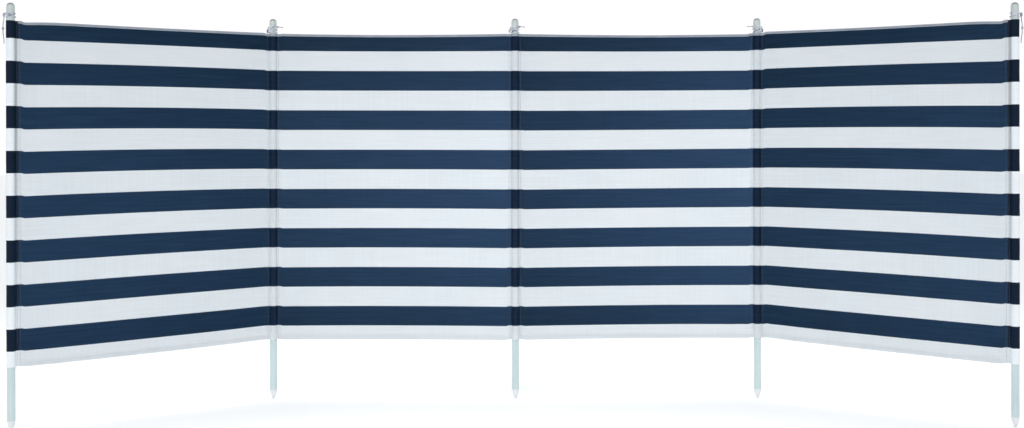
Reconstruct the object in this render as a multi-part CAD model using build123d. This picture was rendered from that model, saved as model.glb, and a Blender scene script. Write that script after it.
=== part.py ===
from build123d import *
import os
from math import cos, radians, sin, tan

# Beach windbreak: four bays of striped cloth on five poles that are pushed into the ground.
# Millimetres. Origin on the blunt end of the middle pole's spike, +X along the two middle
# bays, +Z up. The end bays are turned towards -Y, the sheltered side.

# Poles
pole_radius = 14.0
pole_wall = 0.8
pole_length = 1490.0
pole_spacing = 950.0
left_wing_angle = 33.5
right_wing_angle = 31.0

# Moulded ends of the poles
spike_length = 36.0
spike_tip_radius = 3.0
spike_belly = 1.7
spike_spigot = 30.0
cap_spigot = 18.0
spigot_ease = 0.15

# Cloth
bare_pole_top = 60.0
cloth_height = 1200.0
cloth_thickness = 1.4
pocket_ease = 0.5
pocket_cloth = 1.0
pocket_running_gap = 0.3
seam_lip_length = 8.0
seam_lip_thickness = 3.0
pocket_throat = 2.0
pocket_shoulder_angle = 52.0
top_hem_height = 10.0
top_hem_sag = 4.0
bottom_hem_height = 16.0
hem_thickness = 3.0

# Guy cord, tied round the top of each pole
cord_radius = 1.75
cord_sides = 6
cord_ease = 0.15
turn_tilt = 22.0
crossing_rise = 11.5
end_crossing_rise = 16.0
level_turn_rise = 26.5
lashing_knot_turns = 4
tail_knot_turns = 3
knot_radius = 4.2
knot_bite = 0.5
cut_end_length = 25.0

# Loose tails of the two end cords, above and below the knot that is tied in them. Each point
# says how far outwards, how far sideways and how far down it lies from the lashing's knot.
tail_above_knot = [
    (0.0, 0.0, 0.0),
    (0.0, 0.0, -10.0),
    (2.0, -0.6, -18.5),
    (3.4, 0.9, -26.5),
    (3.4, 0.9, -34.5),
]
tail_below_knot = [
    (0.0, 0.0, 0.0),
    (0.0, 0.0, -8.5),
    (-1.5, -1.3, -21.0),
    (-3.5, -1.9, -33.5),
    (-3.9, -1.5, -48.5),
]

pocket_inner = pole_radius + pocket_ease
pocket_outer = pocket_inner + pocket_cloth
cloth_top = pole_length - bare_pole_top
cloth_bottom = cloth_top - cloth_height
tube_top = pole_length - pole_radius


def wing_direction(side):
    """Heading in degrees, seen from above, of the end bay on the side -1 or +1."""
    return -right_wing_angle if side > 0 else 180.0 + left_wing_angle


def pole_place(number):
    """Foot of pole 1 to 5 on the ground plane, counted from the left."""
    if number in (1, 5):
        side = 1 if number == 5 else -1
        heading = radians(wing_direction(side))
        inner = side * pole_spacing
        return Vector(inner + pole_spacing * cos(heading), pole_spacing * sin(heading), 0)
    return Vector((number - 3) * pole_spacing, 0, 0)


def bay_place(number):
    """Frame of bay 1 to 4: its origin on the pole nearer the middle, X towards the far pole."""
    headings = {1: wing_direction(-1), 2: 180.0, 3: 0.0, 4: wing_direction(1)}
    near_poles = {1: 2, 2: 3, 3: 3, 4: 4}
    return Location(pole_place(near_poles[number]), (0, 0, headings[number]))


def round_solid(outline):
    """Solid turned about the Z axis from an outline in the XZ plane."""
    return revolve(make_face(outline), Axis.Z)


def flat(*points):
    """Points given as radius and height, in the XZ plane."""
    return [(radius, 0, height) for radius, height in points]


def pole_tube():
    """Steel tube, open at both ends until the cap and the spike plug it."""
    height = tube_top - spike_length
    tube = Cylinder(pole_radius, height, align=(Align.CENTER, Align.CENTER, Align.MIN))
    bore = Cylinder(pole_radius - pole_wall, height, align=(Align.CENTER, Align.CENTER, Align.MIN))
    return Pos(0, 0, spike_length) * (tube - bore)


def pole_cap():
    """Domed cap on the tube's end, with a spigot inside the tube."""
    spigot = pole_radius - pole_wall - spigot_ease
    crown = tube_top + pole_radius
    shoulder = pole_radius * sin(radians(45))
    dome = ThreePointArc(*flat((pole_radius, tube_top), (shoulder, tube_top + shoulder), (0, crown)))
    rest = Polyline(*flat(
        (0, crown),
        (0, tube_top - cap_spigot),
        (spigot, tube_top - cap_spigot),
        (spigot, tube_top),
        (pole_radius, tube_top),
    ))
    return round_solid(dome + rest)


def pole_spike():
    """Moulded point with a full belly and a blunt end, plugged into the tube."""
    spigot = pole_radius - pole_wall - spigot_ease
    middle = (pole_radius + spike_tip_radius) / 2 + spike_belly
    belly = ThreePointArc(*flat(
        (pole_radius, spike_length),
        (middle, spike_length / 2),
        (spike_tip_radius, 0),
    ))
    rest = Polyline(*flat(
        (spike_tip_radius, 0),
        (0, 0),
        (0, spike_length + spike_spigot),
        (spigot, spike_length + spike_spigot),
        (spigot, spike_length),
        (pole_radius, spike_length),
    ))
    return round_solid(belly + rest)


def pocket_tube(height):
    """Round pocket of cloth that a pole stands in."""
    outer = Cylinder(pocket_outer, height, align=(Align.CENTER, Align.CENTER, Align.MIN))
    inner = Cylinder(pocket_inner, height, align=(Align.CENTER, Align.CENTER, Align.MIN))
    return Pos(0, 0, cloth_bottom) * (outer - inner)


def end_pocket():
    """Pocket at an end of the cloth: a wider fold whose two layers close on a sewn lip.

    The lip points along +X, towards the bay.
    """
    lip_end = pocket_outer + seam_lip_length
    half_lip = seam_lip_thickness / 2
    shoulder_x = pocket_outer * cos(radians(pocket_shoulder_angle))
    shoulder_y = pocket_outer * sin(radians(pocket_shoulder_angle))
    throat_x = pocket_outer + pocket_throat
    throat = Polyline(
        (shoulder_x, shoulder_y),
        (throat_x, half_lip),
        (lip_end, half_lip),
        (lip_end, -half_lip),
        (throat_x, -half_lip),
        (shoulder_x, -shoulder_y),
        (shoulder_x, shoulder_y),
    )
    section = Circle(pocket_outer) + make_face(throat) - Circle(pocket_inner)
    return Pos(0, 0, cloth_bottom) * extrude(section, cloth_height)


def bay_end(number):
    """Where a bay's cloth ends: at a round pocket, or at the lip of an end pocket."""
    lip = seam_lip_length if number in (1, 4) else pocket_running_gap
    return pole_spacing - pocket_outer - lip


def hem_line(number, height, sag):
    """Edge line of a bay at a height above the ground, sagging between its poles."""
    start = pocket_outer + pocket_running_gap
    end = bay_end(number)
    if sag == 0:
        return Line((start, 0, height), (end, 0, height))
    return ThreePointArc((start, 0, height), ((start + end) / 2, 0, height - sag), (end, 0, height))


def cloth_strip(number, low, low_sag, high, high_sag, thickness):
    """Flat strip of a bay between two edge lines."""
    bottom = hem_line(number, low, low_sag)
    top = hem_line(number, high, high_sag)
    sides = Line(bottom @ 0, top @ 0) + Line(bottom @ 1, top @ 1)
    face = make_face(bottom + top + sides)
    return extrude(face, thickness / 2, dir=(0, 1, 0), both=True)


def bay_cloth(number):
    low = cloth_bottom + bottom_hem_height
    high = cloth_top - top_hem_height
    return cloth_strip(number, low, 0, high, top_hem_sag, cloth_thickness)


def top_hem(number):
    low = cloth_top - top_hem_height
    return cloth_strip(number, low, top_hem_sag, cloth_top, top_hem_sag, hem_thickness)


def bottom_hem(number):
    high = cloth_bottom + bottom_hem_height
    return cloth_strip(number, cloth_bottom, 0, high, 0, hem_thickness)


def cord_ring(radius):
    """One turn of cord about the Z axis."""
    section = Plane.XZ * Pos(radius, 0) * RegularPolygon(cord_radius, cord_sides)
    return revolve(section, Axis.Z)


def knot_length(turns):
    """Length of a knot of close turns of cord."""
    return turns * 2 * cord_radius


def barrel_knot(turns):
    """Knot of several close turns, standing upright on the Z axis with its top at zero."""
    core = knot_radius - cord_radius
    outline = [(0, 0), (core, 0)]
    for turn in range(turns):
        middle = -(2 * turn + 1) * cord_radius
        outline += [(knot_radius, middle), (core, middle - cord_radius)]
    outline += [(0, -knot_length(turns)), (0, 0)]
    return round_solid(Polyline(*flat(*outline)))


def turn_reach():
    """Middle of the cord from the pole's axis, where it lies against the pole."""
    return pole_radius + cord_radius + cord_ease


def lashing_knot_place(rise):
    """Top of the lashing's knot: how far out from the pole's axis and above the pocket."""
    out = pole_radius + 2 * cord_radius + knot_radius - knot_bite
    return Vector(out, 0, rise + knot_length(lashing_knot_turns) / 2)


def straight_cord(length):
    """Straight piece of cord along +Z, from the origin."""
    return extrude(RegularPolygon(cord_radius, cord_sides), length)


def level_turn(knot_side):
    """Level turn above the crossed ones, the cord that rises to it from the knot, and its cut end."""
    turn = Pos(0, 0, level_turn_rise) * cord_ring(turn_reach())
    rise_place = Pos(knot_side * (turn_reach() + cord_radius), 0, crossing_rise)
    turn += rise_place * straight_cord(level_turn_rise - crossing_rise)
    end_place = Pos(-knot_side * turn_reach(), 0, level_turn_rise)
    return turn + end_place * Rot(0, -90 * knot_side, 0) * straight_cord(cut_end_length)


def lashing(rise, knot_side):
    """Guy cord round a pole: two turns that cross, and the knot that holds them.

    Height zero is the pocket's top. The knot is on the side -1 or +1 along X.
    """
    turn = cord_ring(turn_reach() / cos(radians(turn_tilt)))
    cord = Pos(0, 0, rise) * (Rot(0, turn_tilt, 0) * turn + Rot(0, -turn_tilt, 0) * turn)
    place = lashing_knot_place(rise)
    return cord + Pos(knot_side * place.X, 0, place.Z) * barrel_knot(lashing_knot_turns)


def cord_run(route):
    """Round cord along a route of straight runs joined by arcs as large as the runs allow."""
    points = [Vector(*point) for point in route]
    runs = [after - before for before, after in zip(points, points[1:])]
    radii = []
    for before, after in zip(runs, runs[1:]):
        turn = before.get_angle(after)
        radii.append(0.45 * min(before.length, after.length) / tan(radians(turn / 2)))
    path = FilletPolyline(*points, radius=radii)
    print("cord arcs", [round(radius, 1) for radius in radii], "length", round(path.length, 1))
    section = Plane(path @ 0, z_dir=path % 0) * RegularPolygon(cord_radius, cord_sides)
    return sweep(section, path=path)


def tail_knot_drop():
    """From the lashing knot's lower end to the top of the knot in the tail."""
    return Vector(*tail_above_knot[-1])


def cord_tail():
    """Loose tail above and below its own knot, from the lower end of the lashing's knot."""
    knot_foot = tail_knot_drop() - Vector(0, 0, knot_length(tail_knot_turns))
    below = Pos(knot_foot) * cord_run(tail_below_knot)
    return Compound([cord_run(tail_above_knot), below])


def tail_start():
    """Lower end of the lashing's knot."""
    return lashing_knot_place(end_crossing_rise) - Vector(0, 0, knot_length(lashing_knot_turns))


def write(name, shape):
    """Write one named piece."""
    shape.label = name
    export_step(shape, f"parts/{name}.step")


def write_pole(number):
    """Pole with its cap, spike, pocket and lashing."""
    place = Location(pole_place(number))
    write(f"pole_{number}_tube", place * pole_tube())
    write(f"pole_{number}_cap", place * pole_cap())
    write(f"pole_{number}_spike", place * pole_spike())
    if number in (1, 5):
        place = bay_place(1 if number == 1 else 4) * Pos(pole_spacing, 0, 0)
        top = Pos(0, 0, cloth_top)
        write(f"pocket_{number}", place * Rot(0, 0, 180) * end_pocket())
        write(f"pole_{number}_lashing", place * top * lashing(end_crossing_rise, 1))
        tail_place = place * top * Pos(tail_start())
        write(f"pole_{number}_tail", tail_place * cord_tail())
        write(f"pole_{number}_tail_knot", tail_place * Pos(tail_knot_drop()) * barrel_knot(tail_knot_turns))
    else:
        knot_side = 1 if number == 4 else -1
        write(f"pocket_{number}", place * pocket_tube(cloth_height))
        cord = lashing(crossing_rise, knot_side) + level_turn(knot_side)
        write(f"pole_{number}_lashing", place * Pos(0, 0, cloth_top) * cord)


def write_bay(number):
    """Cloth of one bay with its two hems."""
    place = bay_place(number)
    write(f"bay_{number}_cloth", place * bay_cloth(number))
    write(f"bay_{number}_top_hem", place * top_hem(number))
    write(f"bay_{number}_bottom_hem", place * bottom_hem(number))


def main():
    os.makedirs("parts", exist_ok=True)
    for number in range(1, 6):
        write_pole(number)
    for number in range(1, 5):
        write_bay(number)


main()
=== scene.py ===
"""Looks of the beach windbreak: striped cloth on five poles, pockets, hems, stitching and cord.

Metres, in the row frame. The poles stand along X, and the sheltered side faces -Y.
"""

import math

import bmesh
import bpy
import numpy as np
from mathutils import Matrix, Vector


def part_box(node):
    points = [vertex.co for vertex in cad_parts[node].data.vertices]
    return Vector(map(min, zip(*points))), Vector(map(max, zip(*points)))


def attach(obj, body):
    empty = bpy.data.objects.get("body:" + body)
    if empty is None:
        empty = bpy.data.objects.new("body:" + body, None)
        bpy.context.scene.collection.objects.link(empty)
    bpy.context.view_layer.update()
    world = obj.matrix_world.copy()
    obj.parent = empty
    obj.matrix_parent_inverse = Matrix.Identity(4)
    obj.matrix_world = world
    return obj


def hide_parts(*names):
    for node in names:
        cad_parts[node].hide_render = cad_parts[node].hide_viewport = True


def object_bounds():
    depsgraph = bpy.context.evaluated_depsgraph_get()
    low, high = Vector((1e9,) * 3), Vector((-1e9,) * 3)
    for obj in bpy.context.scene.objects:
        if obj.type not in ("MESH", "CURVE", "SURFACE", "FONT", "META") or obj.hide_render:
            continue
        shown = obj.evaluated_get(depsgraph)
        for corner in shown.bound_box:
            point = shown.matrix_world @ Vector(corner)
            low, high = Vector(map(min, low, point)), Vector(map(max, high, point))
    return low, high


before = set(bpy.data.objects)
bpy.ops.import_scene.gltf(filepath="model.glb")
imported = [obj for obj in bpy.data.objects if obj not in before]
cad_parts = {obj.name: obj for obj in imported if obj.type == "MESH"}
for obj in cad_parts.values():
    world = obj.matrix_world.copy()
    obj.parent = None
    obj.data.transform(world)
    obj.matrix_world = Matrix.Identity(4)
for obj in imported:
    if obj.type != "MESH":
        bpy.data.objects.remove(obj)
CAD_LOW, CAD_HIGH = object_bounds()

MM = 0.001
TAU = 2 * math.pi
UP = np.array((0.0, 0.0, 1.0))


# Camera ----------

CAMERA_PLACE = (0.103, -4.582, 0.979)
CAMERA_LENS = 41.02
CAMERA_SHIFT = (-0.0287, -0.0638)
CAMERA_ROLL = math.radians(0.092)


def add_object(name, data):
    added = bpy.data.objects.new(name, data)
    bpy.context.scene.collection.objects.link(added)
    return added


def make_camera():
    data = bpy.data.cameras.new("camera")
    data.sensor_width = 36.0
    data.lens = CAMERA_LENS
    data.shift_x, data.shift_y = CAMERA_SHIFT
    data.clip_start, data.clip_end = 0.05, 200.0
    camera = add_object("camera", data)
    camera.location = CAMERA_PLACE
    camera.rotation_euler = (math.radians(90), CAMERA_ROLL, 0)
    bpy.context.scene.camera = camera


make_camera()


# Sizes, from the CAD nodes ----------


def box_middle(node):
    low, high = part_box(node)
    return (low + high) / 2


def half_width(node):
    low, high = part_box(node)
    return (high.x - low.x) / 2


POLES = {number: box_middle(f"pole_{number}_tube") for number in range(1, 6)}
POLE_BODIES = {1: "bay_1", 2: "bay_2", 3: "middle_pole", 4: "bay_3", 5: "bay_4"}
BAY_POLES = {1: (2, 1), 2: (3, 2), 3: (3, 4), 4: (4, 5)}
# The two end poles, each with the pole next to it.
END_POLES = {1: 2, 5: 4}
POLE_RADIUS = half_width("pole_3_tube")
POCKET_RADIUS = half_width("pocket_3")
CLOTH_LOW, CLOTH_TOP = (corner.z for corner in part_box("pocket_3"))
CLOTH_HEIGHT = CLOTH_TOP - CLOTH_LOW
SPACING = POLES[4].x - POLES[3].x


def unit(vectors):
    return vectors / np.linalg.norm(vectors, axis=-1, keepdims=True)


class Upright:
    """Vertical frame at a pole: x along a heading, front towards the sheltered side, z up."""

    def __init__(self, origin, heading):
        self.origin = np.array((origin.x, origin.y, 0.0))
        self.along = unit(np.array((heading.x, heading.y, 0.0)))
        front = np.cross(self.along, UP)
        self.front = front if front[1] < 0 else -front

    def at(self, x, front, z):
        """Points in the row frame from places in this one, given as numbers or grids."""
        x, front, z = (a[..., None] for a in np.broadcast_arrays(x, front, z))
        return self.origin + x * self.along + front * self.front + z * UP


# Meshes ----------


def make_piece(name, points, faces, materials, cloth=None, fade=None, sharp=50):
    """Closed mesh whose faces are smooth up to an angle of sharp degrees between them.

    cloth is each point's place on the flat cloth, in metres; fade is light and shade painted into
    its colour.
    """
    mesh = bpy.data.meshes.new(name)
    mesh.from_pydata(np.asarray(points).tolist(), [], [tuple(f) for f in faces])
    shape = bmesh.new()
    shape.from_mesh(mesh)
    bmesh.ops.recalc_face_normals(shape, faces=shape.faces)
    shape.to_mesh(mesh)
    shape.free()
    mesh.polygons.foreach_set("use_smooth", [True] * len(mesh.polygons))
    mesh.set_sharp_from_angle(angle=math.radians(sharp))
    if cloth is not None:
        place = mesh.attributes.new("cloth", "FLOAT_VECTOR", "POINT")
        place.data.foreach_set("vector", np.asarray(cloth, np.float32).ravel())
        painted_light_values = mesh.attributes.new("fade", "FLOAT", "POINT")
        painted_light_values.data.foreach_set("value", np.asarray(fade, np.float32).ravel())
    for material in materials:
        mesh.materials.append(material)
    return add_object(name, mesh)


def shell(outer, inner, around=False):
    """Points and faces of a closed thin shell between two grids, shaped (columns, rows, 3)."""
    columns, rows = outer.shape[:2]
    count = columns * rows
    number = np.arange(count).reshape(columns, rows)
    if around:
        number = np.concatenate([number, number[:1]])
    corners = (number[:-1, :-1], number[1:, :-1], number[1:, 1:], number[:-1, 1:])
    face = np.stack(corners, -1).reshape(-1, 4)
    rims = [number[:, 0], number[:, -1]]
    if not around:
        rims += [number[0], number[-1]]
    parts = [face, face[:, ::-1] + count]
    for rim in rims:
        a, b = rim[:-1], rim[1:]
        parts.append(np.stack((a, b, b + count, a + count), -1))
    points = np.concatenate([outer.reshape(-1, 3), inner.reshape(-1, 3)])
    return points, np.concatenate(parts).tolist()


def make_cloth_piece(name, outer, inner, x, z, fade, materials, around=False):
    """Thin shell of cloth. x and z are its grid's places on the flat cloth."""
    points, faces = shell(outer, inner, around)
    x, z, fade, level = np.broadcast_arrays(x, z, fade, 0.0)
    flat = np.stack([x, z, level], -1).reshape(-1, 3)
    both = np.concatenate([flat, flat])
    return make_piece(name, points, faces, materials, both, np.tile(fade.ravel(), 2))


def joined(parts):
    """Several meshes' points and faces as one."""
    points, faces, count = [], [], 0
    for p, f in parts:
        points.append(p)
        faces += [[i + count for i in face] for face in f]
        count += len(p)
    return np.concatenate(points), faces


def make_marked_piece(name, marked, plain, materials):
    """Piece of marked parts, which have the second material, and plain ones."""
    points, faces = joined(marked + plain)
    piece = make_piece(name, points, faces, materials, sharp=80)
    for face in piece.data.polygons[: sum(len(f) for _, f in marked)]:
        face.material_index = 1
    return piece


def place_piece(piece, body, node=None):
    """The piece moves with a body and may stand for a CAD node, which it hides."""
    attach(piece, body)
    if node:
        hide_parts(node)


def uneven(start, end, count, closer):
    """Places from start to end that lie closer together near both ends."""
    s = np.linspace(0, 1, count)
    return start + (end - start) * (s - closer * np.sin(TAU * s) / TAU)


def spline_weights(t):
    """Cubic B-spline weights of the four values round a place between two of them."""
    return (
        (1 - t) ** 3 / 6,
        (3 * t**3 - 6 * t**2 + 4) / 6,
        (-3 * t**3 + 3 * t**2 + 3 * t + 1) / 6,
        t**3 / 6,
    )


def noise(random, x, z, cell_x, cell_z):
    """Smooth random values, about -1 to 1, over places in metres."""
    gx, gz = (x - x.min()) / cell_x, (z - z.min()) / cell_z
    i, j = np.floor(gx).astype(int), np.floor(gz).astype(int)
    values = random.uniform(-1, 1, (i.max() + 4, j.max() + 4))
    total = 0.0
    for a, wx in enumerate(spline_weights(gx - i)):
        for b, wz in enumerate(spline_weights(gz - j)):
            total = total + wx * wz * values[i + a, j + b]
    return 1.8 * total


def arc_through(values, t):
    """The parabola that takes three values at 0, 1/2 and 1."""
    first, middle, last = values
    return first * (1 - t) * (1 - 2 * t) + middle * 4 * t * (1 - t) + last * t * (2 * t - 1)


def smooth_step(t):
    t = np.clip(t, 0, 1)
    return t * t * (3 - 2 * t)


def circle(radius, count, start=0.0, end=TAU):
    """Places round part of a circle, or round all of it without its last place twice."""
    whole = end - start == TAU
    angle = np.linspace(start, end, count, endpoint=not whole)
    return np.stack([radius * np.cos(angle), radius * np.sin(angle)], -1)


# Materials ----------

STRIPE = 77 * MM
FIRST_STRIPE = 67 * MM
STRIPE_WANDER = 0.9 * MM
THREAD_PITCH = 1.1 * MM
RIB_PITCH = 1.6 * MM
# Each dye's two tones, which the cloth drifts between.
NAVIES = ((0.0028, 0.0135, 0.0390, 1), (0.0036, 0.0160, 0.0435, 1))
# The end pockets' navy is a darker copy of it: painted shade.
SHADED_END_NAVIES = ((0.0004, 0.0085, 0.0245, 1), (0.0006, 0.0095, 0.0265, 1))
WHITES = ((0.795, 0.845, 0.885, 1), (0.820, 0.86, 0.895, 1))
NAVY_THROUGH = (0.37, 0.65, 0.90, 1)
WHITE_THROUGH = (0.88, 0.90, 0.90, 1)
# The share of the light that passes through the cloth, and through the end pockets on a pole.
THROUGH_SHARE = 0.22
END_THROUGH_SHARE = 0.03
# How far the painted light and shade, and the dye streaks, change white cloth, against navy.
WHITE_LIGHT_AND_STREAK_SHARE = 0.14
STREAK_FADE = 0.08


class Graph:
    """The nodes of a material or the world, with short ways to add them."""

    def __init__(self, owner):
        owner.use_nodes = True
        self.tree = owner.node_tree
        self.tree.nodes.clear()

    def feed(self, socket, value):
        if isinstance(value, bpy.types.NodeSocket):
            self.tree.links.new(value, socket)
        elif value is not None:
            socket.default_value = value

    def node(self, kind, *values, **settings):
        """A node with these settings, whose first inputs take these values or links."""
        node = self.tree.nodes.new("ShaderNode" + kind)
        for name, value in settings.items():
            setattr(node, name, value)
        for socket, value in zip(node.inputs, values):
            self.feed(socket, value)
        return node

    def math(self, operation, a, b=None, c=None, clamp=False):
        return self.node("Math", a, b, c, operation=operation, use_clamp=clamp).outputs[0]

    def product(self, first, *others):
        for value in others:
            first = self.math("MULTIPLY", first, value)
        return first

    def wave(self, value, length):
        """Sine of value, once round in each length."""
        return self.math("SINE", self.math("MULTIPLY", value, TAU / length))

    def split(self, vector):
        return self.node("SeparateXYZ", vector).outputs

    def noise(self, vector, scale, detail=2.0, rough=0.5):
        """Noise with scale cells to the metre along each axis."""
        place = self.node("VectorMath", vector, scale, operation="MULTIPLY").outputs[0]
        return self.node("TexNoise", place, None, 1.0, detail, rough).outputs["Fac"]

    def scale(self, value, low, high, new_low, new_high):
        """value from low to high becomes new_low to new_high, held at both ends."""
        return self.node("MapRange", value, low, high, new_low, new_high).outputs[0]

    def spread(self, noise, new_low, new_high):
        """The range that holds nearly all of a noise becomes new_low to new_high."""
        return self.scale(noise, 0.3, 0.7, new_low, new_high)

    def mix(self, share, a, b, kind="MIX"):
        node = self.node("Mix", share, data_type="RGBA", blend_type=kind)
        self.feed(node.inputs[6], a)
        self.feed(node.inputs[7], b)
        return node.outputs[2]

    def patches(self, noise, a, b, low=0.35, high=0.65):
        """Colour a where the noise is under low, b where it is over high."""
        return self.mix(self.scale(noise, low, high, 0, 1), a, b)

    def multiply(self, a, b):
        """Two colours, channel by channel."""
        return self.mix(1.0, a, b, "MULTIPLY")

    def colour(self, channels):
        return self.node("CombineColor", *channels).outputs[0]

    def shaded(self, colour, shade):
        return self.multiply(colour, self.colour([shade] * 3))

    def bump(self, height, distance, strength=1.0, under=None):
        node = self.node("Bump", strength, distance)
        self.feed(node.inputs["Height"], height)
        self.feed(node.inputs["Normal"], under)
        return node.outputs[0]

    def attribute(self, name, output):
        return self.node("Attribute", attribute_name=name).outputs[output]

    def object_place(self):
        return self.node("TexCoord").outputs["Object"]


class Finish(Graph):
    """A material, with the nodes of its one surface."""

    def __init__(self, name, specular=0.5, sheen=0.0, coat=0.0):
        self.material = bpy.data.materials.new(name)
        super().__init__(self.material)
        self.shader = self.node("BsdfPrincipled")
        self.output = self.node("OutputMaterial", self.shader.outputs["BSDF"])
        self.put("Specular IOR Level", specular)
        self.put("Sheen Weight", sheen)
        self.put("Sheen Roughness", 0.45)
        self.put("Coat Weight", coat)
        self.put("Coat Roughness", 0.12)

    def put(self, name, value):
        self.feed(self.shader.inputs[name], value)

    def finished(self, colour, roughness, normal=None):
        self.put("Base Color", colour)
        self.put("Roughness", roughness)
        self.put("Normal", normal)
        return self.material

    def let_light_through(self, colour, share):
        """A share of the light passes through the surface and is scattered behind it."""
        through = self.node("BsdfTranslucent", colour)
        surfaces = (self.shader.outputs["BSDF"], through.outputs["BSDF"])
        both = self.node("MixShader", share, *surfaces)
        self.feed(self.output.inputs["Surface"], both.outputs[0])


def weave(graph, place):
    """Height of plain weave: threads that pass over and under each other."""
    x, z, _ = graph.split(place)
    warp, weft = graph.wave(x, 2 * THREAD_PITCH), graph.wave(z, 2 * THREAD_PITCH)
    return graph.math("MULTIPLY_ADD", graph.product(warp, weft), 0.5, 0.5)


def stripe_mask(graph, place):
    """1 on the navy stripes and 0 on the white ones, with slightly uneven edges."""
    _, z, _ = graph.split(place)
    wander = graph.noise(place, (260, 90, 1))
    start = CLOTH_TOP + STRIPE - FIRST_STRIPE - STRIPE_WANDER / 2
    below = graph.math("SUBTRACT", start, z)
    below = graph.math("MULTIPLY_ADD", wander, STRIPE_WANDER, below)
    return graph.math("MULTIPLY_ADD", graph.wave(below, 2 * STRIPE), 26.0, 0.5, clamp=True)


def striped_cloth(name, navies, through_share, white_light_share):
    """Woven navy and white stripes, whose dye is faded in streaks, with light and shade painted in
    where the mesh says so.
    """
    graph = Finish(name, specular=0.14, sheen=0.02)
    place = graph.attribute("cloth", "Vector")
    navy_share = stripe_mask(graph, place)

    def by_stripe(on_white, on_navy):
        return graph.scale(navy_share, 0, 1, on_white, on_navy)

    threads = weave(graph, place)
    broad = graph.noise(place, (3.1, 4.3, 1), 3.0)
    warp_lines = graph.noise(place, (420, 3, 1))
    weft_lines = graph.noise(place, (5, 380, 1))
    slubs = graph.noise(place, (38, 900, 1), 1.0)
    streaks = graph.spread(graph.noise(place, (6, 120, 1)), -STREAK_FADE, STREAK_FADE)

    colour = graph.mix(navy_share, graph.patches(broad, *WHITES), graph.patches(broad, *navies))
    # Darker where the weave lies low, a painted shade; the warp and weft lines and slubs are the
    # yarn's own tone.
    shade = graph.product(
        graph.spread(warp_lines, 0.975, 1.022),
        graph.spread(weft_lines, 0.970, 1.027),
        graph.scale(slubs, 0.62, 0.8, 1.0, 1.05),
        graph.scale(threads, 0, 1, 0.93, 1.03),
    )
    streaks = graph.product(streaks, by_stripe(WHITE_LIGHT_AND_STREAK_SHARE, 1.0))
    painted_light_share = by_stripe(white_light_share, 1.0)
    # Light and shade painted in from the mesh, plus the dye streaks.
    fade = graph.math("MULTIPLY_ADD", graph.attribute("fade", "Fac"), painted_light_share, streaks)
    # Navy turns redder where the painted light and the dye streaks make it lighter, and white
    # doesn't.
    strengths = (by_stripe(1.0, 1.6), 1.0, 1.0)
    tone_shift = graph.colour([graph.math("MULTIPLY_ADD", fade, s, 1.0) for s in strengths])
    # Times the yarn's own tone and the weave's painted shade.
    tone_shift = graph.shaded(tone_shift, shade)
    graph.put("Sheen Tint", (0.75, 0.83, 1.0, 1))
    through = graph.mix(navy_share, WHITE_THROUGH, NAVY_THROUGH)
    graph.let_light_through(graph.multiply(through, tone_shift), through_share)
    normal = graph.bump(slubs, 0.12 * MM, 0.5, graph.bump(threads, 0.07 * MM, 0.6))
    return graph.finished(graph.multiply(colour, tone_shift), graph.spread(weft_lines, 0.50, 0.66), normal)


def hem_tape():
    graph = Finish("hem_tape", specular=0.3, sheen=0.15)
    place = graph.attribute("cloth", "Vector")
    x, z, _ = graph.split(place)
    rib = graph.wave(graph.math("ADD", x, z), RIB_PITCH)
    rib = graph.math("MULTIPLY_ADD", rib, 0.5, 0.5)
    blotches = graph.noise(place, (24, 60, 1), 3.0)
    colour = graph.patches(blotches, (0.34, 0.375, 0.43, 1), (0.28, 0.315, 0.37, 1), high=0.7)
    # The ribs' grooves are painted darker: painted shade.
    colour = graph.shaded(colour, graph.scale(rib, 0, 1, 0.88, 1.04))
    return graph.finished(colour, graph.spread(blotches, 0.6, 0.75), graph.bump(rib, 0.15 * MM, 0.7))


def thread(name, colour):
    graph = Finish(name, specular=0.4, sheen=0.1)
    twist = graph.noise(graph.object_place(), (900, 900, 900))
    colour = graph.shaded(colour, graph.spread(twist, 0.85, 1.08))
    return graph.finished(colour, 0.55, graph.bump(twist, 0.1 * MM, 0.5))


def guy_cord(name, clean, soiled_and_shaded):
    graph = Finish(name, specular=0.35, sheen=0.15)
    place = graph.object_place()
    fibres = graph.noise(place, (700, 700, 700), 3.0)
    blotches = graph.noise(place, (90, 90, 60))
    # The darker tone is partly dirt and partly painted shade.
    colour = graph.patches(blotches, clean, soiled_and_shaded, 0.40, 0.60)
    colour = graph.shaded(colour, graph.spread(fibres, 0.84, 1.05))
    normal = graph.bump(fibres, 0.18 * MM, 0.6)
    return graph.finished(colour, graph.spread(fibres, 0.5, 0.72), normal)


def pole_coating():
    """Pale blue-grey coated steel: duller above the cloth, scuffed near the ground."""
    graph = Finish("pole_coating", specular=0.35, coat=0.12)
    place = graph.object_place()
    z = graph.split(place)["Z"]
    drawn = graph.noise(place, (900, 900, 6))
    cloudy = graph.noise(place, (14, 14, 5), 3.0)
    scuffs = graph.noise(place, (160, 160, 420), 3.0, 0.65)
    colour = graph.patches(cloudy, (0.54, 0.655, 0.675, 1), (0.60, 0.71, 0.725, 1))
    above_cloth = graph.scale(z, CLOTH_TOP - 10 * MM, CLOTH_TOP + 10 * MM, 0, 1)
    colour = graph.mix(above_cloth, colour, (0.53, 0.58, 0.575, 1))
    colour = graph.shaded(colour, graph.spread(drawn, 0.95, 1.03))
    near_ground = graph.scale(z, 20 * MM, 260 * MM, 1, 0)
    tone_shift = graph.product(graph.scale(scuffs, 0.56, 0.70, 0, 1), near_ground, 0.45)
    colour = graph.mix(tone_shift, colour, (0.33, 0.35, 0.36, 1))
    normal = graph.bump(drawn, 0.04 * MM, 0.5)
    return graph.finished(colour, graph.spread(scuffs, 0.24, 0.42), normal)


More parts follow.
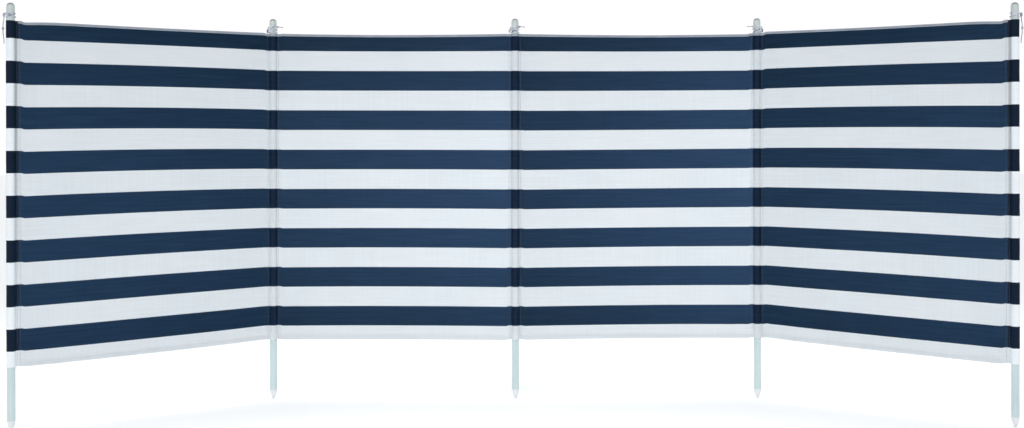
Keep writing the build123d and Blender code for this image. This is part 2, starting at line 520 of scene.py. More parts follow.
def pole_plastic():
    """Moulded ends: the cap's crown painted dark, a painted reflection of a dark rim, and the point
    paler and scratched.
    """
    graph = Finish("pole_plastic", specular=0.5, coat=0.2)
    place = graph.object_place()
    z = graph.split(place)["Z"]
    grain = graph.noise(place, (600, 600, 600), 3.0)
    cloudy = graph.noise(place, (70, 70, 70), 3.0)
    colour = graph.patches(cloudy, (0.49, 0.54, 0.54, 1), (0.55, 0.60, 0.60, 1))
    point = graph.scale(z, 60 * MM, 120 * MM, 1, 0)
    colour = graph.mix(point, colour, (0.76, 0.78, 0.80, 1))
    top = CAD_HIGH.z
    # Painted reflection: a dark band over the dome's crown, with a ragged lower edge.
    ragged = graph.math("MULTIPLY_ADD", cloudy, 3 * MM, z)
    painted_dark_crown = graph.scale(ragged, top - 9 * MM, top - 4 * MM, 0, 0.9)
    colour = graph.mix(painted_dark_crown, colour, (0.10, 0.11, 0.115, 1))
    scratched = graph.product(graph.scale(z, 4 * MM, 45 * MM, 0.35, 0), cloudy)
    colour = graph.mix(scratched, colour, (0.55, 0.56, 0.55, 1))
    normal = graph.bump(grain, 0.06 * MM, 0.5)
    return graph.finished(colour, graph.spread(grain, 0.32, 0.5), normal)


def floor_paint():
    graph = Finish("floor_paint", specular=0.1)
    cloudy = graph.noise(graph.object_place(), (0.6, 0.6, 0.6))
    return graph.finished(graph.mix(cloudy, (0.95, 0.95, 0.95, 1), (0.97, 0.97, 0.97, 1)), 0.9)


CLOTH = striped_cloth("striped_cloth", NAVIES, THROUGH_SHARE, WHITE_LIGHT_AND_STREAK_SHARE)
# A copy of the cloth with darker navy, which is painted shade, for the end pockets.
SHADED_END_POCKET_CLOTH = striped_cloth("shaded_end_pocket_cloth", SHADED_END_NAVIES, END_THROUGH_SHARE, 1.0)
TAPE = hem_tape()
THREAD = thread("seam_thread", (0.18, 0.22, 0.29, 1))
PALE_THREAD = thread("hem_thread", (0.62, 0.66, 0.70, 1))
# The cords' dark patches are partly dirt and partly painted shade; on the paler turns of the
# lashings they are painted shade between the turns.
CORD = guy_cord("guy_cord", (0.50, 0.51, 0.58, 1), (0.27, 0.28, 0.34, 1))
TURNS_CORD = guy_cord("turns_cord", (0.76, 0.79, 0.90, 1), (0.19, 0.22, 0.33, 1))
COATING = pole_coating()
PLASTIC = pole_plastic()


# Cord ----------

CORD_RADIUS = 1.75 * MM
CORD_SIDES = 16
CORD_STEP = 0.8 * MM
BRAID_LENGTH = 6.5 * MM
# In radii of the cord: the braid's mean and depth, and an open end's round and tip.
BRAID_MEAN, BRAID_DEPTH = 0.985, 0.055
END_ROUND, TIP_LENGTH = 0.75, 0.2
CURVE_STEPS = 16


def route_line(route):
    """Points along the smooth line that a route's control points give."""
    curve = bpy.data.curves.new("route", "CURVE")
    curve.dimensions = "3D"
    curve.resolution_u = CURVE_STEPS
    spline = curve.splines.new("NURBS")
    spline.points.add(len(route) - 1)
    for point, place in zip(spline.points, route):
        point.co = (*place, 1)
    spline.order_u = 3
    spline.use_endpoint_u = True
    carrier = bpy.data.objects.new("route", curve)
    mesh = bpy.data.meshes.new_from_object(carrier)
    line = np.array([v.co for v in mesh.vertices], float)
    bpy.data.objects.remove(carrier)
    bpy.data.curves.remove(curve)
    bpy.data.meshes.remove(mesh)
    return line


def along_line(line):
    """How far along a line each of its points is."""
    return np.concatenate([[0], np.cumsum(np.linalg.norm(np.diff(line, axis=0), axis=1))])


def resample(line, closed=False):
    """The same line with its points a cord's step apart."""
    if closed:
        line = np.concatenate([line, line[:1]])
    along = along_line(line)
    count = max(4, int(round(along[-1] / CORD_STEP)) + 1)
    places = np.linspace(0, along[-1], count)
    even = np.stack([np.interp(places, along, line[:, k]) for k in range(3)], -1)
    return even[:-1] if closed else even


def carried_frames(line, closed):
    """At each point of a line, two directions across it, which don't twist, and its own."""
    if closed:
        ahead = np.roll(line, -1, 0) - np.roll(line, 1, 0)
    else:
        ahead = np.gradient(line, axis=0)
    ahead = unit(ahead)
    side = np.cross(ahead[0], UP if abs(ahead[0][2]) < 0.9 else (1.0, 0.0, 0.0))
    sides = []
    for direction in ahead:
        side = unit(side - direction * (side @ direction))
        sides.append(side)
    sides = np.array(sides)
    return sides, np.cross(ahead, sides), ahead


def cord_tube(line, closed=False, radius=CORD_RADIUS):
    """Points and faces of a braided cord along a line, with round ends unless it is closed."""
    count = len(line)
    one, other, ahead = carried_frames(line, closed)
    along = along_line(line)
    turn = np.zeros(count)
    braid = TAU / BRAID_LENGTH
    if closed:
        first = one[0] - ahead[-1] * (one[0] @ ahead[-1])
        slip = math.atan2(first @ other[-1], first @ one[-1])
        turn = slip * np.arange(count) / count
        whole = along[-1] + np.linalg.norm(line[0] - line[-1])
        braid = TAU * max(1, round(whole / BRAID_LENGTH)) / whole
    round_it = np.arange(CORD_SIDES) * TAU / CORD_SIDES
    angle = round_it + turn[:, None]
    phase = along[:, None] * braid
    bumps = np.sin(2 * round_it + phase) * np.sin(2 * round_it - phase)
    size = radius * (BRAID_MEAN + BRAID_DEPTH * bumps)
    if not closed:
        near_end = np.minimum(along, along[-1] - along) / radius
        size = size * np.sqrt(1 - np.clip(END_ROUND - near_end, 0, 1) ** 2)[:, None]
    outwards = np.cos(angle)[..., None] * one[:, None] + np.sin(angle)[..., None] * other[:, None]
    rings = line[:, None] + size[..., None] * outwards
    number = np.arange(count * CORD_SIDES).reshape(count, CORD_SIDES)
    if closed:
        number = np.concatenate([number, number[:1]])
    after = np.roll(number, -1, 1)
    corners = (number[:-1], after[:-1], after[1:], number[1:])
    faces = np.stack(corners, -1).reshape(-1, 4).tolist()
    points = rings.reshape(-1, 3)
    if not closed:
        tip_length = TIP_LENGTH * radius
        tips = np.stack([line[0] - tip_length * ahead[0], line[-1] + tip_length * ahead[-1]])
        for tip, row in ((len(points), 0), (len(points) + 1, -1)):
            faces += [[int(number[row, k]), int(after[row, k]), tip] for k in range(CORD_SIDES)]
        points = np.concatenate([points, tips])
    return points, faces


def open_cord(route, radius=CORD_RADIUS):
    return cord_tube(resample(route_line(route)), radius=radius)


def route_from(place, out, up, route):
    """A route's points, which it gives in mm outwards, sideways and up from a place."""
    return [place(out + x * MM, y * MM, up + z * MM) for x, y, z in route]


TURN_REACH = POLE_RADIUS + CORD_RADIUS + 0.1 * MM
TURN_STEPS = 64
TURN_TILT, LEVEL_TILT = math.radians(23), math.radians(2.5)
TURN_BULGE, BULGE_ANGLE, TURN_WAVER = 3.2 * MM, 0.42, 0.4 * MM
# Heights above the cloth.
CROSSING_RISE, END_CROSSING_RISE, LEVEL_TURN_RISE = 11.5 * MM, 16.0 * MM, 26.5 * MM
LASHING_KNOT_TURNS, TAIL_KNOT_TURNS = 4, 3
KNOT_OUT = 21.2 * MM
KNOT_COIL = 2.6 * MM
KNOT_STEPS = 16
# A knot's ends are drawn in by this share, over this share of its length.
KNOT_TUCK, TUCK_LENGTH = 0.35, 0.04
# Where the cord through the knot runs, as shares of the knot's length below its top.
CORE_ROUTE = (-0.06, 0.3, 0.7, 1.06)


def turn_tube(place, rise, tilt, over_side):
    """A turn of cord round the pole, which bulges over the other where they cross."""
    angle = np.arange(TURN_STEPS) * TAU / TURN_STEPS
    from_crossing = (angle - over_side + np.pi) % TAU - np.pi
    bulge = TURN_BULGE * np.exp(-((from_crossing / BULGE_ANGLE) ** 2))
    waver = TURN_WAVER * (0.5 + 0.5 * np.sin(3 * angle + 9 * tilt))
    reach = TURN_REACH + bulge + waver
    height = rise + TURN_REACH * math.tan(tilt) * np.cos(angle)
    line = place(reach * np.cos(angle), reach * np.sin(angle), height)
    return cord_tube(resample(line, closed=True), closed=True)


def barrel_tube(place, out, top, turns):
    """Close turns of cord down an upright knot."""
    t = np.linspace(0, 1, turns * KNOT_STEPS + 1)
    angle = t * turns * TAU
    ends = np.exp(-t / TUCK_LENGTH) + np.exp(-(1 - t) / TUCK_LENGTH)
    coil = KNOT_COIL * (1 - KNOT_TUCK * ends)
    height = top - CORD_RADIUS - t * (turns - 1) * 2 * CORD_RADIUS
    return cord_tube(resample(place(out + coil * np.cos(angle), coil * np.sin(angle), height)))


def knot_parts(place, top):
    """The lashing's barrel knot: its turns, and the cord that runs down through them."""
    length = LASHING_KNOT_TURNS * 2 * CORD_RADIUS
    core = [place(KNOT_OUT, 0.0, top - t * length) for t in CORE_ROUTE]
    coil = barrel_tube(place, KNOT_OUT, top, LASHING_KNOT_TURNS)
    return [coil, open_cord(core, 0.92 * CORD_RADIUS)]


def lashing_place(number):
    """A pole's frame with x towards its cord's knot, and the height where the turns cross."""
    if number in END_POLES:
        heading, rise = POLES[number] - POLES[END_POLES[number]], END_CROSSING_RISE
    else:
        heading, rise = Vector((1 if number == 4 else -1, 0, 0)), CROSSING_RISE
    return Upright(POLES[number], heading).at, CLOTH_TOP + rise


# The cord that climbs from the middle of the knot's top and ends round the level turn.
RISER_START = [(-0.4, 0.0, -3.0), (-0.8, 0.3, 2.0)]
RISER_END = [(2.6, 2.0, -3.5), (1.6, 5.0, -0.6), (-1.4, 9.0, 0.5)]
# The level turn's cut end, at the pole's far side. It starts round the pole, at an angle from
# that side, a share of CUT_REACH out and a height in mm.
CUT_REACH = TURN_REACH + 1.6 * MM
CUT_START = [(1.15, 1.0, 1.2), (0.75, 1.0, 2.2), (0.35, 1.06, 2.8)]
CUT_END = [(-7.0, 1.6, 1.6), (-14.0, 0.6, 0.6), (-24.0, 0.2, 0.2)]


def loose_ends(place, knot_top, level):
    """The cord from the knot up to the level turn, and that turn's cut end."""
    riser = route_from(place, KNOT_OUT, knot_top, RISER_START)
    riser += route_from(place, TURN_REACH, level, RISER_END)
    cut_end = []
    for angle, share, z in CUT_START:
        reach = share * CUT_REACH
        cut_end.append(place(-reach * math.cos(angle), reach * math.sin(angle), level + z * MM))
    cut_end += route_from(place, -TURN_REACH, level, CUT_END)
    return [open_cord(riser), open_cord(cut_end)]


def make_lashing(number):
    place, crossing = lashing_place(number)
    knot_top = crossing + LASHING_KNOT_TURNS * CORD_RADIUS
    turns = [turn_tube(place, crossing, side * TURN_TILT, side * math.pi / 2) for side in (1, -1)]
    others = knot_parts(place, knot_top)
    if number not in END_POLES:
        level = CLOTH_TOP + LEVEL_TURN_RISE
        turns.append(turn_tube(place, level, LEVEL_TILT, math.pi))
        others += loose_ends(place, knot_top, level)
    piece = make_marked_piece(f"pole_{number}_cord_turns", turns, others, [CORD, TURNS_CORD])
    place_piece(piece, POLE_BODIES[number], f"pole_{number}_lashing")


# From the foot of the lashing's knot.
TAIL_ROUTE = [
    (0.0, 0.0, 0.0), (0.0, 0.0, -10.0), (2.0, -0.6, -18.5), (3.4, 0.9, -26.5), (3.4, 0.9, -34.5),
    (3.4, 0.9, -45.0), (3.4, 0.9, -53.5), (1.9, -0.4, -66.0), (-0.1, -1.0, -78.5),
    (-0.5, -0.6, -93.5),
]
TAIL_KNOT_DROP, TAIL_KNOT_OUT = 34.5 * MM, 3.4 * MM


def make_tail(number):
    """Loose end of the guy cord at an end pole, with the knot that is tied in it."""
    place, crossing = lashing_place(number)
    start = crossing - LASHING_KNOT_TURNS * CORD_RADIUS
    route = route_from(place, KNOT_OUT, start, TAIL_ROUTE)
    line = resample(route_line(route))
    tail = make_piece(f"pole_{number}_cord_tail", *cord_tube(line), [CORD], sharp=80)
    coil = barrel_tube(place, KNOT_OUT + TAIL_KNOT_OUT, start - TAIL_KNOT_DROP, TAIL_KNOT_TURNS)
    knot = make_piece(f"pole_{number}_cord_tail_knot", *coil, [CORD], sharp=80)
    place_piece(tail, POLE_BODIES[number], f"pole_{number}_tail")
    place_piece(knot, POLE_BODIES[number], f"pole_{number}_tail_knot")


for pole in POLES:
    make_lashing(pole)
for pole in END_POLES:
    make_tail(pole)


# Stitching ----------

STITCH_PITCH = 4.5 * MM
STITCH_LENGTH = 3.5 * MM
STITCH_RADIUS = 0.36 * MM
STITCH_SIDES = 5
# The share of a stitch that is full round, and its tips' dip in radii.
STITCH_BODY, STITCH_DIP = 0.62, 0.4
STITCH_LIFT, STITCH_SLIP, STITCH_STRETCH = 0.12 * MM, 0.12 * MM, 0.08


def stitch_shape():
    """Points and faces of one stitch: a short rod with pointed ends that dip into the cloth."""
    half = STITCH_LENGTH / 2
    dip = -STITCH_DIP * STITCH_RADIUS
    points = [(-half, dip, 0.0)]
    for end in (-STITCH_BODY, STITCH_BODY):
        for y, z in circle(STITCH_RADIUS, STITCH_SIDES):
            points.append((end * half, y, z))
    points.append((half, dip, 0.0))
    ring = STITCH_SIDES
    faces = []
    for k in range(ring):
        a, b = 1 + k, 1 + (k + 1) % ring
        faces += [(0, b, a), (a, b, b + ring), (a, b + ring, a + ring)]
        faces += [(a + ring, b + ring, 2 * ring + 1)]
    return np.array(points), np.array(faces)


def stitch_row(random, centres, along, out):
    """Points and faces of one row of stitches that lie on the cloth."""
    count = len(centres)
    along = unit(along)
    side = unit(np.cross(out, along))
    shape, faces = stitch_shape()
    length = 1 + STITCH_STRETCH * random.uniform(-1, 1, (count, 1, 1))
    slip = STITCH_SLIP * random.uniform(-1, 1, (count, 1, 1))
    points = (
        centres[:, None]
        + shape[:, :1] * length * along[:, None]
        + (shape[:, 1:2] + STITCH_LIFT) * out[:, None]
        + (shape[:, 2:] + slip) * side[:, None]
    )
    faces = faces + (np.arange(count) * len(shape))[:, None, None]
    return points.reshape(-1, 3), faces.reshape(-1, 3).tolist()


# Cloth ----------

PANEL_COLUMNS, PANEL_ROWS = 140, 166
PANEL_THICKNESS = 1.0 * MM
SEAM_THICKNESS, SEAM_WIDTH, SEAM_STEP = 2.4 * MM, 9 * MM, 1.2 * MM
# How far the panel reaches into the pockets, and how far inside its hems it ends.
SIDE_TUCK, FOOT_TUCK, TOP_TUCK = 0.35 * MM, 3 * MM, 1.6 * MM
LIP_LENGTH = 8 * MM
# The strips folded over the panel's top and foot.
TAPE_HEIGHT, TAPE_HALF, TAPE_PLY, TAPE_RIPPLE = 10 * MM, 1.35 * MM, 0.55 * MM, 0.12 * MM
HEM_HEIGHT, HEM_HALF, HEM_PLY, HEM_RIPPLE = 16 * MM, 1.40 * MM, 0.6 * MM, 0.2 * MM
FOLD_COLUMNS = 180
FOLD_RIPPLE_LENGTH = 14 * MM

# The top edge's sag, the share of it lower down, and how far down it fades to that.
TOP_SAG, LOW_SAG, SAG_DEPTH = 4 * MM, 0.10, 36 * MM
# How far each bay's cloth lies above its flat place, in mm, at its foot, middle and top: beside
# its near pole, half way along and beside its far pole.
HANG = {
    1: ((5, 1, 4), (-7, 0, 4), (-10, -9, -1)),
    2: ((-3, -5, 1), (0, -2, 1), (1, -2, 3)),
    3: ((-2, -6, 0), (3, -2, -1), (4, 1, -2)),
    4: ((11, 3, 6), (-5, 1, 5), (-12, -8, 1)),
}
# The same for each pocket, and how far from it the cloth follows it, and then blends.
POCKET_HANG = {1: (-7, -5, 4), 2: (4, 0, 1), 3: (1, -4, 0), 4: (7, 2, 1), 5: (-8, -5, 6)}
POCKET_HOLD, POCKET_BLEND = 8 * MM, 16 * MM
# How far the cloth's top corner drops at an end pole, and that drop's width and depth.
CORNER_DROP, DROP_WIDTH, DROP_DEPTH = 5.5 * MM, 75 * MM, 30 * MM
# Light and shade painted into each bay's navy at its foot, middle and top, and how much lighter it
# is painted at its far pole than at its near one.
BAY_PAINTED_LIGHT = {
    1: ((-0.10, 0.05, -0.20), 0.15),
    2: ((-0.10, 0.20, -0.15), -0.25),
    3: ((-0.05, 0.20, -0.10), 0.40),
    4: ((-0.10, 0.05, -0.20), 0.20),
}

# How far each bay bulges away from the camera, and the share of that at its foot and top.
BILLOW = {1: 8 * MM, 2: 14 * MM, 3: 13 * MM, 4: 9 * MM}
EDGE_BILLOW = 0.6
# Each unevenness of the cloth: its depth, and its length across and up.
WAVES = ((2.4 * MM, 0.24, 0.42), (0.9 * MM, 0.085, 0.20))
POLE_FOLDS = (1.3 * MM, 0.30, 0.16)
HEM_RIPPLES = (0.55 * MM, 0.011, 0.5)
SEAM_PUCKERS = (0.7 * MM, 0.06, 0.021)
# Where they are: distances from a pocket, a hem or a corner.
FREE_FROM = 50 * MM
POLE_FOLD_PLACE, POLE_FOLD_WIDTH = 50 * MM, 18 * MM
PUCKER_START, PUCKER_REACH = 3 * MM, 16 * MM
TOP_RIPPLE_REACH, FOOT_RIPPLE_REACH = 18 * MM, 24 * MM
FAN_START, FAN_REACH, PIN_WIDTH = 35 * MM, 170 * MM, 10 * MM
# The foot's share of the hem ripples, and the depth of the folds in the corners.
FOOT_RIPPLE_SHARE, FAN_DEPTH = 0.8, 1.5 * MM


def rough(random, kind, x, z):
    """One unevenness over places on the cloth."""
    depth, across, up = kind
    return depth * noise(random, x, z, across, up)


def share_up(z):
    return (z - CLOTH_LOW) / CLOTH_HEIGHT


def pocket_lift(number, z):
    """How far a pocket's cloth lies above its flat place."""
    return MM * arc_through(POCKET_HANG[number], share_up(z))


class Bay:
    """One bay's cloth: where each place of the flat cloth lies."""

    def __init__(self, number):
        near, far = BAY_POLES[number]
        self.number = number
        self.at_end = far in END_POLES
        self.frame = Upright(POLES[near], POLES[far] - POLES[near])
        self.start = POCKET_RADIUS - SIDE_TUCK
        self.end = SPACING - POCKET_RADIUS + SIDE_TUCK - (LIP_LENGTH if self.at_end else 0.0)
        self.random = np.random.default_rng(70 + number)
        self.x = uneven(self.start, self.end, PANEL_COLUMNS, 0.6)
        self.z = uneven(CLOTH_LOW, CLOTH_TOP, PANEL_ROWS, 0.3)
        self.sway = self.make_sway(*np.meshgrid(self.x, self.z, indexing="ij"))

    def share_along(self, x):
        return (x - self.start) / (self.end - self.start)

    def make_sway(self, x, z):
        """How far the cloth lies in front of the poles' plane."""
        random = self.random
        s = self.share_along(x)
        edge = np.minimum(x - self.start, self.end - x)
        free = 1 - np.exp(-edge / FREE_FROM)
        height_share = EDGE_BILLOW + (1 - EDGE_BILLOW) * np.sin(np.pi * share_up(z))
        sway = -BILLOW[self.number] * 4 * s * (1 - s) * height_share
        for kind in WAVES:
            sway += free * rough(random, kind, x, z)
        near_pole = np.exp(-(((edge - POLE_FOLD_PLACE) / POLE_FOLD_WIDTH) ** 2))
        sway += near_pole * rough(random, POLE_FOLDS, x, z)
        for corner_x in (self.start, self.end):
            for corner_z in (CLOTH_LOW, CLOTH_TOP):
                sway += self.corner_folds(np.abs(x - corner_x), np.abs(z - corner_z))
        hems = np.exp(-(CLOTH_TOP - z) / TOP_RIPPLE_REACH)
        hems += FOOT_RIPPLE_SHARE * np.exp(-(z - CLOTH_LOW) / FOOT_RIPPLE_REACH)
        sway += hems * free * rough(random, HEM_RIPPLES, x, z)
        seams = np.exp(-edge / PUCKER_REACH) * np.minimum(edge / PUCKER_START, 1)
        sway += seams * rough(random, SEAM_PUCKERS, x, z)
        return sway

    def corner_folds(self, across, up):
        """Shallow folds that fan out from a corner, where the cloth pulls on its pole."""
        reach = np.hypot(across, up)
        angle = np.arctan2(up, across)
        begun = 1 - np.exp(-((reach / FAN_START) ** 2))
        depth = FAN_DEPTH * np.exp(-reach / FAN_REACH) * begun
        count = self.random.uniform(7, 10)
        folds = np.sin(count * angle + self.random.uniform(0, 6))
        return depth * folds * np.minimum(across / PIN_WIDTH, 1)

    def fade(self, x, z):
        """Light and shade painted into the navy, as a share of its own colour."""
        heights, rise = BAY_PAINTED_LIGHT[self.number]
        return arc_through(heights, share_up(z)) + rise * (self.share_along(x) - 0.5)

    def sag(self, x, z):
        """How far the cloth hangs below its flat place. The top edge hangs most."""
        s, t = self.share_along(x), share_up(z)
        below = CLOTH_TOP - z
        top_share = LOW_SAG * t + (1 - LOW_SAG) * np.exp(-below / SAG_DEPTH)
        lift = MM * arc_through([arc_through(heights, t) for heights in HANG[self.number]], s)
        for pole, edge in zip(BAY_POLES[self.number], (x - self.start, self.end - x)):
            hold = 1 - smooth_step((edge - POCKET_HOLD) / POCKET_BLEND)
            lift = lift + hold * (pocket_lift(pole, z) - lift)
        if self.at_end:
            across, down = (self.end - x) / DROP_WIDTH, below / DROP_DEPTH
            lift = lift - CORNER_DROP * np.exp(-(across**2) - down**2)
        return TOP_SAG * 4 * s * (1 - s) * top_share - lift

    def lookup(self, x, z):
        """The sway at any place, between the panel's own points."""
        gx = np.interp(x, self.x, np.arange(PANEL_COLUMNS))
        gz = np.interp(z, self.z, np.arange(PANEL_ROWS))
        i = np.minimum(gx.astype(int), PANEL_COLUMNS - 2)
        j = np.minimum(gz.astype(int), PANEL_ROWS - 2)
        u, v = gx - i, gz - j
        low = self.sway[i, j] * (1 - u) + self.sway[i + 1, j] * u
        high = self.sway[i, j + 1] * (1 - u) + self.sway[i + 1, j + 1] * u
        return low * (1 - v) + high * v

    def at(self, x, z, front=0.0):
        """Points in the row frame for places on the flat cloth, or a distance in front of it."""
        return self.frame.at(x, self.lookup(x, z) + front, z - self.sag(x, z))

    def thickness(self, x):
        """The panel's thickness, more along its sides, which are turned and sewn."""
        edge = np.minimum(x - self.start, self.end - x)
        seam = smooth_step((SEAM_WIDTH - edge) / SEAM_STEP)
        return PANEL_THICKNESS + (SEAM_THICKNESS - PANEL_THICKNESS) * seam


def make_panel(bay):
    x = bay.x[:, None]
    z = np.unique(np.clip(bay.z, CLOTH_LOW + FOOT_TUCK, CLOTH_TOP - TOP_TUCK))
    half = bay.thickness(x) / 2
    outer, inner = bay.at(x, z, half), bay.at(x, z, -half)
    return make_cloth_piece(f"bay_{bay.number}_panel", outer, inner, x, z, bay.fade(x, z), [CLOTH])


def rounded_fold(half, height):
    """Across and up places over a fold, from one edge's foot over the round to the other's."""
    shoulder = height - half
    side = [(1.08 * half, 0.0), (half, 0.35 * height), (half, shoulder)]
    bend = [(x, shoulder + y) for x, y in circle(half, 7, 0.0, np.pi)[1:-1]]
    return np.array(side + bend + [(-x, y) for x, y in reversed(side)]).T


def make_fold(bay, name, edge, height, half, ply, ripple, material):
    """A strip folded over the panel's edge, as the tape at the top and the hem at the foot."""
    x = uneven(bay.start, bay.end, FOLD_COLUMNS, 0.35)[:, None]
    way = 1 if edge == CLOTH_TOP else -1
    ripples = rough(bay.random, (ripple, FOLD_RIPPLE_LENGTH, 1.0), x, np.zeros_like(x))

    def layer(inset):
        across, up = rounded_fold(half - inset, height - inset)
        z = edge + way * (up - height)
        return z, bay.at(x, z, across + ripples * (1 - up / height) * np.sign(across))

    z, outer = layer(0.0)
    _, inner = layer(ply)
    fade = bay.fade(x, z)
    return make_cloth_piece(f"bay_{bay.number}_{name}", outer, inner, x, z, fade, [material])


# How far each row of stitches runs from its edge, and how far its ends lie from the cloth's.
FOOT_ROW, TOP_ROW, SIDE_ROW = 13 * MM, 5.2 * MM, 6.2 * MM
LEVEL_ENDS, LOW_END, HIGH_END = 3 * MM, 5 * MM, 9 * MM
STITCH_SEAT = 0.03 * MM


def bay_row(bay, x, z, front):
    """Stitches at places on one face of a bay."""
    centres = bay.at(x, z, front)
    out = np.broadcast_to(bay.frame.front * np.sign(front), centres.shape)
    return stitch_row(bay.random, centres, np.gradient(centres, axis=0), out)


def make_stitching(bay):
    """Rows along the foot hem, the top tape and beside the pockets, on both faces."""
    level = np.arange(bay.start + LEVEL_ENDS, bay.end - LEVEL_ENDS, STITCH_PITCH)
    upright = np.arange(CLOTH_LOW + LOW_END, CLOTH_TOP - HIGH_END, STITCH_PITCH)
    foot, others = [], []
    for side in (1, -1):
        foot.append(bay_row(bay, level, CLOTH_LOW + FOOT_ROW, side * (HEM_HALF + STITCH_SEAT)))
    for side in (1, -1):
        others.append(bay_row(bay, level, CLOTH_TOP - TOP_ROW, side * (TAPE_HALF + STITCH_SEAT)))
        for x in (bay.start + SIDE_ROW, bay.end - SIDE_ROW):
            others.append(bay_row(bay, x, upright, side * SEAM_THICKNESS / 2))
    return make_marked_piece(f"bay_{bay.number}_stitches", foot, others, [THREAD, PALE_THREAD])


def make_bay(number):
    bay = Bay(number)
    panel = make_panel(bay)
    tape = make_fold(bay, "top_tape", CLOTH_TOP, TAPE_HEIGHT, TAPE_HALF, TAPE_PLY, TAPE_RIPPLE, TAPE)
    foot = make_fold(bay, "foot_hem", CLOTH_LOW, HEM_HEIGHT, HEM_HALF, HEM_PLY, HEM_RIPPLE, CLOTH)
    stitches = make_stitching(bay)
    body = f"bay_{number}"
    place_piece(panel, body, f"{body}_cloth")
    place_piece(tape, body, f"{body}_top_hem")
    place_piece(foot, body, f"{body}_bottom_hem")
    place_piece(stitches, body)


# Pockets ----------

POCKET_PLY = 0.8 * MM
POCKET_ROWS = 168
POCKET_SIDES = 56
POCKET_CREASES = ((0.30 * MM, 0.012, 0.035), (0.22 * MM, 0.03, 0.014))
# How far a pocket's ends are drawn in, and how far up and down that reaches.
PULL, FOOT_PULL_REACH, TOP_PULL_REACH = 0.2 * MM, 12 * MM, 10 * MM
# Its outside lies a little inside its outline, and stands out at the hem and the tape.
INSET, HEM_OUT, TAPE_OUT = 0.15 * MM, 0.35 * MM, 0.25 * MM
HEM_STEP, TAPE_STEP = 1.5 * MM, 1.0 * MM

END_POCKET_SHORT = 7 * MM
END_POCKET_ROOM = 0.45 * MM
SHOULDER, INSIDE_GAP = math.radians(27), 0.06
LIP_HALF = 1.35 * MM
LIP_ROW, LIP_ROW_FRONT, LIP_ROW_END = 4.2 * MM, 1.3 * MM, 4 * MM
# An end pocket is painted lighter, with painted shade towards its seam, less on the lip and near the
# foot.
END_PAINTED_LIGHT = 0.06
END_SHADE, SHADE_START, SHADE_BLEND = 0.42, 5 * MM, 8.5 * MM
LIP_PALER, LIP_PALER_START, LIP_PALER_BLEND = 0.6, 3 * MM, 4 * MM
FOOT_SHADE, FULL_SHADE_HEIGHT = 0.1, 0.75


def pocket_swell(random, around, z, whole, top):
    """How far a pocket's outside lies out of its outline. The creases die out at its seam."""
    crease = sum(rough(random, kind, around, z) for kind in POCKET_CREASES)
    ends = np.exp(-(z - CLOTH_LOW) / FOOT_PULL_REACH) + np.exp(-(top - z) / TOP_PULL_REACH)
    crease -= PULL * ends * (0.5 + 0.5 * noise(random, around, z, 0.009, 0.2))
    crease *= 0.5 - 0.5 * np.cos(TAU * around / whole)
    hem = HEM_OUT * smooth_step((CLOTH_LOW + HEM_HEIGHT - z) / HEM_STEP)
    tape = TAPE_OUT * smooth_step((z - top + TAPE_HEIGHT) / TAPE_STEP)
    return crease + hem + tape - INSET


def outward(outline):
    """Directions out of a closed outline that runs anticlockwise."""
    ahead = np.roll(outline, -1, 0) - np.roll(outline, 1, 0)
    out = np.stack([ahead[:, 1], -ahead[:, 0]], -1)
    return unit(out)


def end_outline():
    """Outline of an end pocket: a round fold whose two layers close on a sewn lip along +x."""
    reach = POCKET_RADIUS + LIP_LENGTH
    upper = [
        (reach - 1.2 * MM, 0.25 * MM),
        (reach, 0.4 * MM),
        (reach + 0.05 * MM, 0.9 * MM),
        (reach - 0.5 * MM, LIP_HALF),
        (reach - 2.5 * MM, LIP_HALF * 0.92),
        (reach - 4.5 * MM, LIP_HALF * 1.02),
        (POCKET_RADIUS + 2.0 * MM, LIP_HALF * 1.1),
        (POCKET_RADIUS + 0.4 * MM, LIP_HALF * 1.7),
        (POCKET_RADIUS - 0.6 * MM, LIP_HALF * 3.3),
    ]
    lower = [(x, -y) for x, y in reversed(upper)]
    return np.concatenate([upper, circle(POCKET_RADIUS, 44, SHOULDER, TAU - SHOULDER), lower])


def end_painted_light(x, z):
    """Light and shade painted into an end pocket's colour."""
    by_seam = smooth_step((x - SHADE_START) / SHADE_BLEND)
    on_lip = smooth_step((x - POCKET_RADIUS - LIP_PALER_START) / LIP_PALER_BLEND)
    high = smooth_step(share_up(z) / FULL_SHADE_HEIGHT)
    dark = by_seam * (1 - LIP_PALER * on_lip) * (FOOT_SHADE + (1 - FOOT_SHADE) * high)
    return END_PAINTED_LIGHT - END_SHADE * dark


